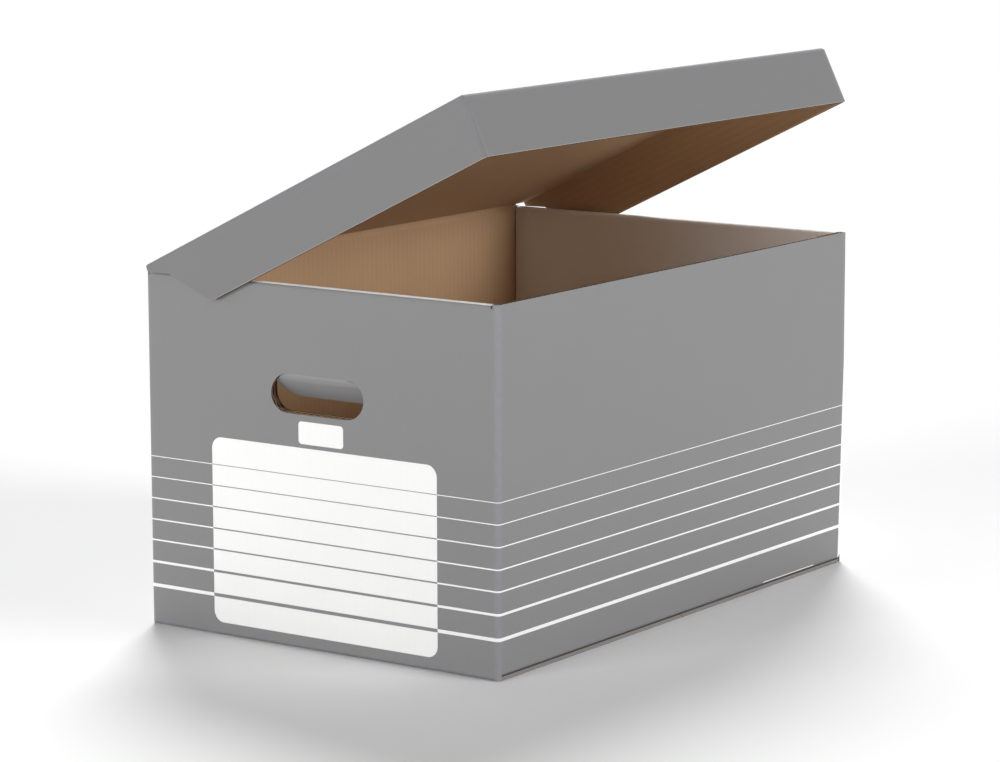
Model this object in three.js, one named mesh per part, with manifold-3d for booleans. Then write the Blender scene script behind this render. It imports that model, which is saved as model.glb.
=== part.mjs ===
// Archive storage box with a hinged lid.
// One die-cut sheet of corrugated board is folded into a tube of four walls. Its handle walls are rolled
// over into a double wall, its floor is two crossing layers of flaps, and its lid hangs on the hinge wall.
// X runs from the hinge wall to the front wall, Y along the hinge, Z up. Millimetres and degrees.
// The origin is the centre of the base.

import * as THREE from 'three';
import { mergeVertices } from 'three/addons/utils/BufferGeometryUtils.js';
import ManifoldModule from 'manifold-3d';

const wasm = await ManifoldModule();
wasm.setup();

// Overall size
const boxDepth = 345;
const boxLength = 520;
const boxHeight = 290;

// Board and folds
const board = 3;
const foldInside = 0.5;
const foldSteps = 5;
const glueLap = 0.05;

// Body: joint, floor and handle walls
const jointEndGap = 0.5;
const jointTab = 38;
const cornerLift = 0.5;
const floorSeam = 1;
const floorLayerGap = 0.4;
const outerFlapSetback = 0.8;
const innerFlapSlot = 1.5;
const wrapGap = 1.6;
const innerPanelLift = 0.4;
const innerPanelSideGap = 0.8;
const crestNotch = 1.5;

// Hand holes and their flaps
const holeWidth = 90;
const holeHeight = 30;
const holeCentre = 204;
const innerHoleSideGap = 0.6;
const innerHoleRise = 10;
const innerHoleCorner = 5;
const flapKerf = 0.5;
const flapHingeGap = 0.7;
const flapCrease = 3;
const flapShoulder = 3.5;
const flapShoulderOut = 1;
const labelFlapPush = 50;

// Lid
const lidOpening = 26;
const lidSkirt = 51;
const lidSideGap = 3;
const lidFrontGap = 5;
const lidRestGap = 0.3;
const lidTab = 45;
const lidTabTaper = 8;
const lidTabInset = 1.2;
const skirtEndGap = 0.3;

// Pressed crease that the lid and the flaps turn on
const creaseBoard = 1.2;
const creaseWidth = 4;
const creaseGap = 0.4;

// Slanted rear end of the lid's side skirts, from the crease
const reliefStart = 4.5;
const reliefShoulder = 6.1;
const reliefBend = 15;
const reliefBendDrop = 10.6;
const reliefNeck = 24;
const reliefNeckDrop = 15;
const reliefFoot = 55;
const reliefFootRound = 5;

// Worked out from the sizes above
const halfX = boxDepth / 2;
const halfY = boxLength / 2;
const halfBoard = board / 2;
const foldMid = foldInside + halfBoard;
const foldOuter = foldInside + board;
const innerFloorMid = board + floorLayerGap + halfBoard;
const innerFloorTop = innerFloorMid + halfBoard;
const handleWall = 2 * board + wrapGap;
const creaseHalf = creaseBoard / 2;
const creaseSpan = halfY - foldOuter;
const hingeX = -halfX + creaseHalf;
const hingeZ = boxHeight + lidRestGap + board - creaseHalf;
const holeRadius = holeHeight / 2;
const holeStraight = holeWidth / 2 - holeRadius;
const flapHingeY = halfY - board + creaseHalf;
const flapHingeZ = holeCentre + holeRadius - flapHingeGap - creaseHalf;

const X = new THREE.Vector3(1, 0, 0);
const Y = new THREE.Vector3(0, 1, 0);
const Z = new THREE.Vector3(0, 0, 1);

// Outline of a strip of board seen on its edge. The path is its middle line, with a fold at each corner.
function boardOutline(path, thickness = board, roundStart = false) {
  const half = thickness / 2;
  const points = path.map(([u, v]) => new THREE.Vector2(u, v));
  const turned = (vector, angle) => vector.clone().rotateAround(new THREE.Vector2(), angle);
  const left = [];
  const right = [];
  points.forEach((point, index) => {
    const last = index === points.length - 1;
    const before = points[index - 1] ?? point;
    const incoming = (index === 0 ? points[1].clone().sub(point) : point.clone().sub(before)).normalize();
    const toLeft = turned(incoming, Math.PI / 2);
    if (index === 0 || last) {
      left.push(point.clone().addScaledVector(toLeft, half));
      right.push(point.clone().addScaledVector(toLeft, -half));
      return;
    }
    const outgoing = points[index + 1].clone().sub(point).normalize();
    const turn = Math.atan2(incoming.cross(outgoing), incoming.dot(outgoing));
    const side = Math.sign(turn);
    const radius = foldInside + half;
    const setback = radius * Math.tan(Math.abs(turn) / 2);
    const centre = point.clone().addScaledVector(incoming, -setback).addScaledVector(toLeft, side * radius);
    for (let step = 0; step <= foldSteps; step += 1) {
      const spoke = turned(toLeft, turn * step / foldSteps).multiplyScalar(-side);
      left.push(centre.clone().addScaledVector(spoke, radius - side * half));
      right.push(centre.clone().addScaledVector(spoke, radius + side * half));
    }
  });
  const nose = [];
  if (roundStart) {
    const spoke = right[0].clone().sub(points[0]);
    for (let step = 1; step < 2 * foldSteps; step += 1) {
      nose.push(points[0].clone().add(turned(spoke, -Math.PI * step / (2 * foldSteps))));
    }
  }
  return new THREE.Shape([...left, ...right.reverse(), ...nose]);
}

// Closed three.js geometry as a solid that can be joined and cut
function toSolid(geometry) {
  const bare = geometry.index ? geometry.clone() : geometry;
  bare.deleteAttribute('normal');
  bare.deleteAttribute('uv');
  const merged = mergeVertices(bare, 1e-4);
  return new wasm.Manifold(new wasm.Mesh({
    numProp: 3,
    vertProperties: new Float32Array(merged.attributes.position.array),
    triVerts: new Uint32Array(merged.index.array),
  }));
}

// A shape drawn in one of three planes and extruded square to it between two places
const planes = {
  xy: (from) => new THREE.Matrix4().makeBasis(X, Y, Z).setPosition(0, 0, from),
  yz: (from) => new THREE.Matrix4().makeBasis(Y, Z, X).setPosition(from, 0, 0),
  xz: (from, to) => new THREE.Matrix4().makeBasis(X, Z, Y.clone().negate()).setPosition(0, to, 0),
};

function prism(shape, plane, from, to) {
  const geometry = new THREE.ExtrudeGeometry(shape, { depth: to - from, bevelEnabled: false, curveSegments: 10 });
  return toSolid(geometry.applyMatrix4(planes[plane](from, to)));
}

function block(xRange, yRange, zRange) {
  const ranges = [xRange, yRange, zRange];
  const geometry = new THREE.BoxGeometry(...ranges.map(([low, high]) => high - low));
  geometry.translate(...ranges.map(([low, high]) => (low + high) / 2));
  return toSolid(geometry);
}

// The same range on the other side of the middle plane when side is -1
const sided = (side, low, high) => [side * low, side * high].sort((a, b) => a - b);

const join = (solids) => solids.reduce((whole, solid) => whole.add(solid));
const cut = (whole, solids) => solids.reduce((rest, solid) => rest.subtract(solid), whole);

function toMesh(name, solid, material) {
  const { vertProperties, triVerts } = solid.getMesh();
  const geometry = new THREE.BufferGeometry();
  geometry.setAttribute('position', new THREE.BufferAttribute(new Float32Array(vertProperties), 3));
  geometry.setIndex([...triVerts]);
  geometry.computeVertexNormals();
  const mesh = new THREE.Mesh(geometry, material);
  mesh.name = name;
  return mesh;
}

const printedBoard = () => new THREE.MeshStandardMaterial({ color: 0x929292, roughness: 0.8, metalness: 0 });

// Four walls in one wrap. The far wall ends in a tab that is glued behind the end of the front wall.
function wallWrap() {
  const wrap = boardOutline([
    [halfX - halfBoard, halfY - jointEndGap],
    [halfX - halfBoard, -halfY + halfBoard],
    [-halfX + halfBoard, -halfY + halfBoard],
    [-halfX + halfBoard, halfY - halfBoard],
    [0, halfY - halfBoard],
  ]);
  const tabX = halfX - board - halfBoard + glueLap;
  const tab = boardOutline([
    [-glueLap, halfY - halfBoard],
    [tabX, halfY - halfBoard],
    [tabX, halfY - halfBoard - jointTab],
  ]);
  const walls = join([wrap, tab].map((shape) => prism(shape, 'xy', cornerLift, boxHeight)));
  const innerFoldTop = innerFloorMid + foldMid;
  const flatX = [-halfX + foldOuter, halfX - foldOuter];
  const flatY = [-halfY + foldOuter, halfY - foldOuter];
  const trims = [-1, 1].flatMap((side) => [
    block(flatX, sided(side, halfY - board - glueLap, halfY + board), [0, foldOuter]),
    block(sided(side, halfX - 2 * board - foldInside, halfX + board), flatY, [0, innerFoldTop]),
  ]);
  return cut(walls, trims);
}

// Floor: inner flaps fold in from the long walls, outer flaps close over them from the handle walls
function floorFlaps(side) {
  const seam = side * floorSeam / 2;
  const wallX = side * (halfX - halfBoard);
  const wallY = side * (halfY - halfBoard);
  const inner = boardOutline([
    [wallX, innerFloorMid + foldMid + glueLap],
    [wallX, innerFloorMid],
    [seam, innerFloorMid],
  ]);
  const outer = boardOutline([
    [wallY, foldOuter + glueLap],
    [wallY, halfBoard],
    [seam, halfBoard],
  ]);
  const innerReach = halfY - board - innerFlapSlot;
  const outerReach = halfX - foldOuter;
  const flapWidth = halfX - outerFlapSetback;
  return join([
    prism(inner, 'xz', -innerReach, innerReach),
    prism(outer, 'yz', -outerReach, outerReach),
    block([-flapWidth, flapWidth], sided(side, floorSeam / 2, halfY - foldOuter - 1), [0, board]),
  ]);
}

// Handle wall: the outer panel rolls over a flat crest into an inner panel that stands on the floor
const crestSpan = [-halfX + board + innerPanelSideGap, halfX - 2 * board - innerPanelSideGap];

function rolledPanel(side) {
  const outerY = side * (halfY - halfBoard);
  const innerY = side * (halfY - handleWall + halfBoard);
  const crestZ = boxHeight - halfBoard;
  const profile = boardOutline([
    [outerY, boxHeight - foldOuter - glueLap],
    [outerY, crestZ],
    [innerY, crestZ],
    [innerY, innerFloorTop + innerPanelLift],
  ]);
  return prism(profile, 'yz', ...crestSpan);
}

function crestTrim(side) {
  const span = [crestSpan[0] - crestNotch, crestSpan[1] + crestNotch];
  const wall = sided(side, halfY - board - glueLap, halfY + board);
  return block(span, wall, [boxHeight - foldOuter, boxHeight + board]);
}

function obround(halfStraight, radius, centreZ) {
  const shape = new THREE.Shape();
  shape.moveTo(-halfStraight, centreZ - radius);
  shape.lineTo(halfStraight, centreZ - radius);
  shape.absarc(halfStraight, centreZ, radius, -Math.PI / 2, Math.PI / 2, false);
  shape.lineTo(-halfStraight, centreZ + radius);
  shape.absarc(-halfStraight, centreZ, radius, Math.PI / 2, 3 * Math.PI / 2, false);
  return shape;
}

// The inner cut is open further upwards, so that the pushed-in flap can wrap over the inner panel
function innerHoleShape() {
  const half = holeWidth / 2 + innerHoleSideGap;
  const top = holeCentre + holeRadius + innerHoleRise;
  const bottom = holeCentre - holeRadius;
  const shape = new THREE.Shape();
  shape.moveTo(-half + holeRadius, bottom);
  shape.lineTo(half - holeRadius, bottom);
  shape.absarc(half - holeRadius, holeCentre, holeRadius, -Math.PI / 2, 0, false);
  shape.lineTo(half, top - innerHoleCorner);
  shape.absarc(half - innerHoleCorner, top - innerHoleCorner, innerHoleCorner, 0, Math.PI / 2, false);
  shape.lineTo(-half + innerHoleCorner, top);
  shape.absarc(-half + innerHoleCorner, top - innerHoleCorner, innerHoleCorner, Math.PI / 2, Math.PI, false);
  shape.lineTo(-half, holeCentre);
  shape.absarc(-half + holeRadius, holeCentre, holeRadius, Math.PI, 3 * Math.PI / 2, false);
  return shape;
}

function handHole(side) {
  const split = halfY - board - wrapGap / 2;
  const outer = prism(obround(holeStraight, holeRadius, holeCentre), 'xz', ...sided(side, split, halfY + board));
  const inner = prism(innerHoleShape(), 'xz', ...sided(side, halfY - handleWall - board, split));
  return join([outer, inner]);
}

// The hinge wall ends in a thin pressed leaf, on its outer side, that carries the lid's crease
function hingeLeaf() {
  const leafTop = hingeZ - creaseHalf - creaseGap;
  const leafFoot = boxHeight - creaseWidth - 1;
  const leaf = boardOutline([[hingeX, leafTop - creaseHalf], [hingeX, leafFoot]], creaseBoard, true);
  return prism(leaf, 'xz', -creaseSpan, creaseSpan);
}

function pressedZone() {
  const inward = [-halfX + creaseBoard, -halfX + board + foldInside];
  return block(inward, [-creaseSpan, creaseSpan], [boxHeight - creaseWidth, boxHeight + board]);
}

function makeBody() {
  const sides = [-1, 1];
  const walls = cut(wallWrap(), [pressedZone(), ...sides.map(crestTrim)]);
  const whole = join([walls, hingeLeaf(), ...sides.map(floorFlaps), ...sides.map(rolledPanel)]);
  return cut(whole, sides.map(handHole));
}

// Lid, drawn closed with its origin on the crease
const panelMid = creaseHalf - halfBoard;
const skirtFoot = creaseHalf - lidSkirt;
const frontSkirtX = boxDepth - creaseHalf + lidFrontGap + halfBoard;
const sideSkirtY = halfY + lidSideGap + halfBoard;
const foldEndX = frontSkirtX - foldMid;
const foldEndY = sideSkirtY - foldMid;

const frontProfile = () => boardOutline([
  [creaseWidth, panelMid],
  [frontSkirtX, panelMid],
  [frontSkirtX, skirtFoot],
]);

const sideProfile = (side) => boardOutline([
  [side * (foldEndY - glueLap), panelMid],
  [side * sideSkirtY, panelMid],
  [side * sideSkirtY, skirtFoot],
]);

function lidPanelAndFrontSkirt() {
  const leaf = boardOutline([[0, 0], [creaseWidth + glueLap, 0]], creaseBoard, true);
  const endY = sideSkirtY + halfBoard - skirtEndGap;
  return join([
    prism(frontProfile(), 'xz', -foldEndY, foldEndY),
    prism(leaf, 'xz', -creaseSpan, creaseSpan),
    block([frontSkirtX - halfBoard, frontSkirtX + halfBoard], [-endY, endY], [skirtFoot, panelMid - foldMid]),
  ]);
}

// The side skirt's tab turns in behind the front skirt and is glued to it
function sideSkirt(side) {
  const skirtInner = sideSkirtY - halfBoard;
  const skirtSpan = sided(side, skirtInner, skirtInner + board);
  const behindFront = frontSkirtX - halfBoard + glueLap;
  const tabTop = panelMid - foldOuter - lidTabInset;
  const tabFoot = skirtFoot + lidTabInset;
  const tab = new THREE.Shape([
    [skirtInner + glueLap, tabTop],
    [skirtInner + glueLap, tabFoot],
    [skirtInner - lidTab + lidTabTaper, tabFoot],
    [skirtInner - lidTab, tabFoot + lidTabTaper],
    [skirtInner - lidTab, tabTop - lidTabTaper],
    [skirtInner - lidTab + lidTabTaper, tabTop],
  ].map(([y, z]) => new THREE.Vector2(side * y, z)));
  return join([
    prism(sideProfile(side), 'yz', 0, foldEndX),
    block([foldEndX - glueLap, behindFront], skirtSpan, [skirtFoot, panelMid - foldMid]),
    prism(tab, 'yz', behindFront - glueLap - board, behindFront),
  ]);
}

// The front and side creases run into each other at the corner, where the board is pressed together
function lidCorner(side) {
  const low = panelMid - foldMid - glueLap;
  const rounded = (foldEnd) => {
    const points = [[foldEnd - glueLap, creaseHalf], [foldEnd - glueLap, low]];
    for (let step = 0; step <= foldSteps; step += 1) {
      const angle = Math.PI / 2 * step / foldSteps;
      points.push([foldEnd + foldOuter * Math.cos(angle), panelMid - foldMid + foldOuter * Math.sin(angle)]);
    }
    points.splice(2, 0, [foldEnd + foldOuter, low]);
    return points;
  };
  const shape = (points) => new THREE.Shape(points.map(([u, v]) => new THREE.Vector2(u, v)));
  const front = prism(shape(rounded(foldEndX)), 'xz', ...sided(side, foldEndY - glueLap, foldEndY + foldOuter));
  const sidePoints = rounded(foldEndY).map(([y, z]) => [side * y, z]);
  return front.intersect(prism(shape(sidePoints), 'yz', foldEndX - glueLap, foldEndX + foldOuter));
}

function skirtRelief(side) {
  const below = skirtFoot - board;
  const slope = (skirtFoot + reliefNeckDrop) / (reliefFoot - reliefNeck);
  const bendX = reliefFoot - reliefFootRound;
  const shape = new THREE.Shape();
  shape.moveTo(-board, board);
  shape.lineTo(reliefStart, board);
  shape.lineTo(reliefStart, -reliefShoulder);
  shape.quadraticCurveTo(reliefBend, -reliefBendDrop, reliefNeck, -reliefNeckDrop);
  shape.lineTo(bendX, skirtFoot - slope * reliefFootRound);
  shape.quadraticCurveTo(reliefFoot, skirtFoot, reliefFoot + reliefFootRound, skirtFoot);
  shape.lineTo(reliefFoot + reliefFootRound, below);
  shape.lineTo(-board, below);
  return prism(shape, 'xz', ...sided(side, creaseSpan, sideSkirtY + board));
}

function makeLid() {
  const sides = [-1, 1];
  const whole = join([lidPanelAndFrontSkirt(), ...sides.map(sideSkirt), ...sides.map(lidCorner)]);
  return cut(whole, sides.map(skirtRelief));
}

// Hand-hole flap, drawn closed in the label wall. Its origin is on its crease, which is pressed into a thin
// leaf on the inner side, so that the flap can swing in and up.
function makeHandFlap() {
  const centreZ = holeCentre - flapHingeZ;
  const radius = holeRadius - flapKerf;
  const midY = creaseHalf - halfBoard;
  const leaf = boardOutline([[0, 0], [0, -flapCrease - glueLap]], creaseBoard, true);
  const plate = boardOutline([[midY, -flapCrease], [midY, centreZ - holeRadius]]);
  const reach = holeWidth / 2;
  const section = join([leaf, plate].map((shape) => prism(shape, 'yz', -reach, reach)));
  const lower = prism(obround(holeStraight, radius, centreZ), 'xz', -board, board);
  const crease = holeStraight + flapShoulderOut;
  const shoulders = [-1, 1].map((side) => (
    block(sided(side, crease, holeWidth), [-board, board], [-flapShoulder, board])
  ));
  const upper = block([-crease, crease], [-board, board], [centreZ, board]);
  const outline = cut(join([lower, upper]), shoulders);
  return section.intersect(outline);
}

const box = new THREE.Group();
box.add(toMesh('box_body', makeBody(), printedBoard()));

const lid = toMesh('box_lid', makeLid(), printedBoard());
lid.position.set(hingeX, 0, hingeZ);
lid.rotation.y = -THREE.MathUtils.degToRad(lidOpening);
box.add(lid);

const labelFlap = toMesh('hand_flap_label_end', makeHandFlap(), printedBoard());
labelFlap.position.set(0, -flapHingeY, flapHingeZ);
labelFlap.rotation.x = THREE.MathUtils.degToRad(labelFlapPush);
box.add(labelFlap);

const farFlap = toMesh('hand_flap_far_end', makeHandFlap(), printedBoard());
farFlap.position.set(0, flapHingeY, flapHingeZ);
farFlap.rotation.z = Math.PI;
box.add(farFlap);

export default box;
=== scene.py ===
import math

import bmesh
import bpy
import numpy as np
from mathutils import Matrix, Vector


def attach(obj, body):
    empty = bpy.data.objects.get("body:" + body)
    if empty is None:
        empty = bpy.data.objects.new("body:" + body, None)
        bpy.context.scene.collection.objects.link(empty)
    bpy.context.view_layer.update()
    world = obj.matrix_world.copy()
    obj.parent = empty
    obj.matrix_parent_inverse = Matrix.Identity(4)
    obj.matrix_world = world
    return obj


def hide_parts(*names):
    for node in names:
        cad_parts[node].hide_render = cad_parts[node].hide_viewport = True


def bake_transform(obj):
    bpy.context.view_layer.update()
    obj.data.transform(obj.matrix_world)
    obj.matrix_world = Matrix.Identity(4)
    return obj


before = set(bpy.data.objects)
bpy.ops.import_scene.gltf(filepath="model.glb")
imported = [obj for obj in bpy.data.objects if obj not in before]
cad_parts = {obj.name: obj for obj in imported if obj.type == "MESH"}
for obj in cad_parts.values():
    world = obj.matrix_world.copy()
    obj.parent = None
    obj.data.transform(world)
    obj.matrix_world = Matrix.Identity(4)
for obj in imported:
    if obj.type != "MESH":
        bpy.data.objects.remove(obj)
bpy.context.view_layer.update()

# Camera
# A long lens at the photograph's angle: a little above the rim, on the corner of the label wall and the front
# wall. Its place and lens were fitted to the corners of the box.
camera_lens = bpy.data.cameras.new("camera")
camera_lens.lens = 133.483
camera_lens.sensor_width = 36.0
camera_lens.sensor_fit = "HORIZONTAL"
camera_lens.clip_end = 100.0
camera = bpy.data.objects.new("camera", camera_lens)
camera_right = Vector((0.81788, 0.57539, -0.00247)).normalized()
camera_back = Vector((0.56762, -0.80612, 0.16729)).normalized()
camera_up = camera_back.cross(camera_right).normalized()
camera_place = Matrix((camera_right, camera_up, camera_back)).transposed().to_4x4()
camera_place.translation = (1.75345, -2.50302, 0.69837)
camera.matrix_world = camera_place
bpy.context.scene.collection.objects.link(camera)
bpy.context.scene.camera = camera
bpy.context.scene.view_settings.view_transform = "Standard"


# Studio
# A plain white floor and background with soft, even light. Two low fills light the two near walls alike, and a
# high lamp behind the box lays its soft shadow on the floor in front.
def new_tree(owner):
    owner.use_nodes = True
    owner.node_tree.nodes.clear()
    return owner.node_tree


def put(tree, kind, **settings):
    made = tree.nodes.new(kind)
    for name, value in settings.items():
        setattr(made, name, value)
    return made


def feed(tree, socket, value):
    """Sets a socket to a plain value, or wires another node's socket into it."""
    if isinstance(value, bpy.types.NodeSocket):
        tree.links.new(value, socket)
    else:
        socket.default_value = value


def sum_of(tree, operation, *values, clamp=False):
    made = put(tree, "ShaderNodeMath", operation=operation, use_clamp=clamp)
    for socket, value in zip(made.inputs, values):
        feed(tree, socket, value)
    return made.outputs[0]


def white_to_camera(tree, seen, otherwise):
    """One strength for what the camera and gloss see as background, another for what lights the box."""
    path = put(tree, "ShaderNodeLightPath")
    direct = sum_of(tree, "MAXIMUM", path.outputs["Is Camera Ray"], path.outputs["Is Glossy Ray"])
    direct = sum_of(tree, "MAXIMUM", direct, path.outputs["Is Transmission Ray"])
    return sum_of(tree, "MULTIPLY_ADD", direct, seen - otherwise, otherwise)


room = bpy.data.worlds.new("studio_room")
bpy.context.scene.world = room
room_tree = new_tree(room)
room_light = put(room_tree, "ShaderNodeBackground")
room_light.inputs["Color"].default_value = (1.0, 1.0, 1.0, 1.0)
feed(room_tree, room_light.inputs["Strength"], white_to_camera(room_tree, 1.0, 0.20))
room_out = put(room_tree, "ShaderNodeOutputWorld")
room_tree.links.new(room_light.outputs[0], room_out.inputs["Surface"])


def soft_lamp(name, toward, strength, spread):
    """A far, wide lamp. Strength 1 lights a square-on white sheet fully; toward is the way its light travels."""
    lamp = bpy.data.lights.new(name, "SUN")
    lamp.energy = math.pi * strength
    lamp.angle = math.radians(spread)
    lamp_object = bpy.data.objects.new(name, lamp)
    lamp_object.rotation_euler = Vector(toward).to_track_quat("-Z", "Y").to_euler()
    bpy.context.scene.collection.objects.link(lamp_object)


soft_lamp("fill_label_wall", (0.22, 1.0, -0.14), 0.65, 30)
soft_lamp("fill_front_wall", (-1.0, -0.22, -0.30), 0.58, 26)
soft_lamp("key_behind", (0.50, -0.74, -0.92), 0.84, 22)

floor_mesh = bpy.data.meshes.new("studio_floor")
floor_reach = 40.0
floor_corners = [(x * floor_reach, y * floor_reach, -0.0003) for x, y in ((-1, -1), (1, -1), (1, 1), (-1, 1))]
floor_mesh.from_pydata(floor_corners, [], [(0, 1, 2, 3)])
floor = bpy.data.objects.new("studio_floor", floor_mesh)
bpy.context.scene.collection.objects.link(floor)
floor_paint = bpy.data.materials.new("studio_floor_paint")
floor_tree = new_tree(floor_paint)
floor_surface = put(floor_tree, "ShaderNodeBsdfPrincipled")
floor_surface.inputs["Base Color"].default_value = (0.90, 0.90, 0.90, 1.0)
floor_surface.inputs["Roughness"].default_value = 0.9
floor_surface.inputs["Specular IOR Level"].default_value = 0.0
floor_surface.inputs["Emission Color"].default_value = (1.0, 1.0, 1.0, 1.0)
feed(floor_tree, floor_surface.inputs["Emission Strength"], white_to_camera(floor_tree, 0.06, 0.0))
floor_out = put(floor_tree, "ShaderNodeOutputMaterial")
floor_tree.links.new(floor_surface.outputs[0], floor_out.inputs["Surface"])
floor_mesh.materials.append(floor_paint)


# Board
# Single-wall corrugated board, 3 mm thick: a fluted medium between a white outer liner that is printed grey and
# a brown kraft inner liner. Every panel of the box is cut and creased from one sheet of it.
mm = 0.001
board = 3.0
flute_pitch = 6.35
liner_thickness = 0.35
groove_depth = 3.5
fold_inside = 0.5
fold_outer = fold_inside + board


def srgb(red, green, blue):
    """A colour as it looks on a screen, 0 to 255, as the linear colour that a shader takes."""
    steps = [value / 255 for value in (red, green, blue)]
    return tuple(s / 12.92 if s <= 0.04045 else ((s + 0.055) / 1.055) ** 2.4 for s in steps) + (1.0,)


print_grey = srgb(136, 136, 137)
# The lid's grey is the walls' print made darker: painted shade on the lid.
lid_grey_painted_shade = srgb(128, 128, 129)
# Lighter grey for the folds: rubbed ink, and partly a painted highlight on their rounding.
worn_fold_grey_and_highlight = srgb(143, 142, 147)
bare_liner = srgb(250, 250, 249)
kraft_brown = srgb(196, 162, 127)
# Near-black kraft: painted shade for the hollows between the liners.
kraft_painted_shade = srgb(58, 44, 33)
medium_brown = srgb(150, 122, 92)


def mixed(tree, factor, first, second, blend_type="MIX"):
    made = put(tree, "ShaderNodeMix", data_type="RGBA", blend_type=blend_type)
    feed(tree, made.inputs["Factor"], factor)
    feed(tree, made.inputs[6], first)
    feed(tree, made.inputs[7], second)
    return made.outputs[2]


def ramped(tree, value, low, high, first=0.0, second=1.0):
    """A value spread smoothly from first to second as it goes from low to high."""
    made = put(tree, "ShaderNodeMapRange", interpolation_type="SMOOTHSTEP")
    for socket, number in zip(made.inputs, (value, low, high, first, second)):
        feed(tree, socket, number)
    return made.outputs[0]


def noise(tree, vector, scale, detail=2.0, roughness=0.5):
    made = put(tree, "ShaderNodeTexNoise")
    feed(tree, made.inputs["Vector"], vector)
    made.inputs["Scale"].default_value = scale
    made.inputs["Detail"].default_value = detail
    made.inputs["Roughness"].default_value = roughness
    return made.outputs[0]


def build_paper_face():
    """Shader group for a liner sheet: fibres, a cloudy tone, and flutes that show through along the board as a slight
    bump with faint stripes of painted shade.
    """
    tree = bpy.data.node_groups.new("paper_face", "ShaderNodeTree")
    for name, kind in (("Colour", "Color"), ("Along", "Vector"), ("Place", "Vector"),
                       ("Fibre", "Float"), ("Cloud", "Float"), ("FluteShade", "Float")):
        tree.interface.new_socket(name, in_out="INPUT", socket_type=f"NodeSocket{kind}")
    for name, kind in (("Colour", "Color"), ("Height", "Float"), ("Roughness", "Float")):
        tree.interface.new_socket(name, in_out="OUTPUT", socket_type=f"NodeSocket{kind}")
    given = put(tree, "NodeGroupInput").outputs
    result = put(tree, "NodeGroupOutput").inputs
    stretch = put(tree, "ShaderNodeMapping")
    tree.links.new(given["Along"], stretch.inputs["Vector"])
    stretch.inputs["Scale"].default_value = (1.0, 0.18, 1.0)
    fibres = noise(tree, stretch.outputs[0], 2600.0, 3.0, 0.6)
    clouds = noise(tree, given["Place"], 16.0, 4.0, 0.55)
    split = put(tree, "ShaderNodeSeparateXYZ")
    tree.links.new(given["Along"], split.inputs[0])
    drift = noise(tree, given["Place"], 9.0, 1.0)
    turn = sum_of(tree, "MULTIPLY", split.outputs[0], 2 * math.pi / (flute_pitch * mm))
    wave = sum_of(tree, "SINE", sum_of(tree, "MULTIPLY_ADD", drift, 1.4, turn))
    tone = sum_of(tree, "MULTIPLY", sum_of(tree, "SUBTRACT", fibres, 0.5), given["Fibre"])
    tone = sum_of(tree, "MULTIPLY_ADD", sum_of(tree, "SUBTRACT", clouds, 0.5), given["Cloud"], tone)
    # Faint stripes of painted shade across the flutes, matching the bump below.
    tone = sum_of(tree, "MULTIPLY_ADD", wave, given["FluteShade"], tone)
    scaled = put(tree, "ShaderNodeVectorMath", operation="SCALE")
    tree.links.new(given["Colour"], scaled.inputs[0])
    tree.links.new(sum_of(tree, "ADD", tone, 1.0), scaled.inputs["Scale"])
    tree.links.new(scaled.outputs[0], result["Colour"])
    height = sum_of(tree, "MULTIPLY", fibres, 0.03)
    tree.links.new(sum_of(tree, "MULTIPLY_ADD", wave, 0.05, height), result["Height"])
    tree.links.new(sum_of(tree, "MULTIPLY_ADD", clouds, 0.16, 0.6), result["Roughness"])
    return tree


paper_face = build_paper_face()


def rubbed(tree, mask, place, amount):
    """A fold's mask broken up by fine noise, as ink rubs off a crease and as painted highlight on the fold's
    rounding.
    """
    patches = ramped(tree, noise(tree, place, 240.0, 4.0, 0.65), 0.30, 0.62, 0.45, 1.0)
    return sum_of(tree, "MULTIPLY", sum_of(tree, "MULTIPLY", mask, patches), amount, clamp=True)


def liner_material(name, colour, place, fibre, cloud, flute, bump=0.25, ink=None, tree=None):
    """A liner's material. colour and place are sockets or values already in tree; ink dulls the roughness."""
    surface = put(tree, "ShaderNodeBsdfPrincipled")
    paper = put(tree, "ShaderNodeGroup", node_tree=paper_face)
    along = put(tree, "ShaderNodeUVMap", uv_map="along_flutes")
    feed(tree, paper.inputs["Colour"], colour)
    feed(tree, paper.inputs["Along"], along.outputs[0])
    feed(tree, paper.inputs["Place"], place)
    paper.inputs["Fibre"].default_value = fibre
    paper.inputs["Cloud"].default_value = cloud
    paper.inputs["FluteShade"].default_value = flute
    tree.links.new(paper.outputs["Colour"], surface.inputs["Base Color"])
    rough = paper.outputs["Roughness"]
    if ink is not None:
        rough = sum_of(tree, "MULTIPLY_ADD", ink, -0.10, rough)
    tree.links.new(rough, surface.inputs["Roughness"])
    relief = put(tree, "ShaderNodeBump")
    relief.inputs["Strength"].default_value = bump
    relief.inputs["Distance"].default_value = 0.0012
    tree.links.new(paper.outputs["Height"], relief.inputs["Height"])
    tree.links.new(relief.outputs[0], surface.inputs["Normal"])
    surface.inputs["Specular IOR Level"].default_value = 0.2
    out = put(tree, "ShaderNodeOutputMaterial")
    tree.links.new(surface.outputs[0], out.inputs["Surface"])


def start_material(name):
    material = bpy.data.materials.new(name)
    tree = new_tree(material)
    return material, tree


def plain_board_material(name, colour, fibre=0.10, cloud=0.10, flute=0.0, bump=0.3):
    material, tree = start_material(name)
    place = put(tree, "ShaderNodeTexCoord").outputs["Object"]
    liner_material(name, colour, place, fibre, cloud, flute, bump, tree=tree)
    return material


kraft_liner = plain_board_material("kraft_liner", kraft_brown, 0.16, 0.16, 0.022, 0.45)
# Raw cut edges of the board, darker than the edge's own colour: partly painted shade.
cut_edge_painted_shade = plain_board_material("cut_edge_painted_shade", srgb(138, 118, 97), 0.30, 0.12)
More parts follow.
